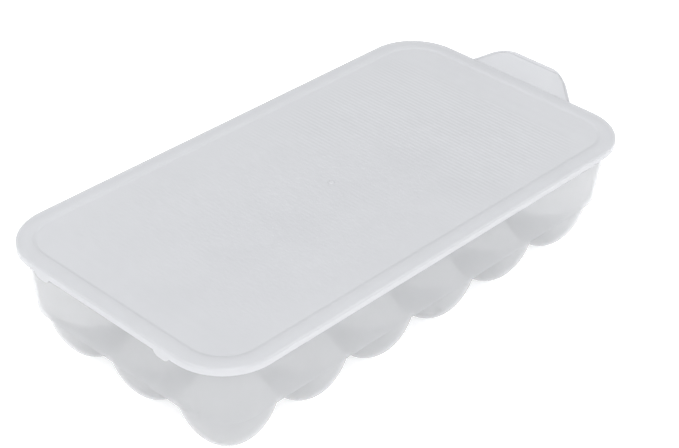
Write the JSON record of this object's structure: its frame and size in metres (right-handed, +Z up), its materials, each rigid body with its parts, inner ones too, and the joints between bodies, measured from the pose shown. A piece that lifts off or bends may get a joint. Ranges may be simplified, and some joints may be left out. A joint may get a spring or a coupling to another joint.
{
  "type": "egg holder tray with lid",
  "caption": "Stackable frosted egg storage tray: round cups hang under a deck in a shallow box, closed by a press-on lid with a pull tab at one end.",
  "frame": {"origin": "on the surface that the cups' feet stand on, under the middle of the closed box's bounding box, with the pull tab counted in", "axes": "+Z up, +Y along the length towards the pull tab, +X across the width"},
  "size_m": [0.1628, 0.3204, 0.0768],
  "materials": {
    "tray_plastic": "milky translucent injection-moulded polypropylene, satin, very slightly cool grey",
    "lid_plastic": "milky translucent injection-moulded polypropylene, satin, with fine moulded ribs on the panel"
  },
  "bodies": {
    "tray": {"egg_tray": "tray_plastic"},
    "lid": {"lid": "lid_plastic"}
  },
  "joints": [
    {"name": "lid_lift", "type": "slide", "parent": "tray", "child": "lid", "axis": [0, 0, 1], "range_m": [0, 0.08]}
  ]
}
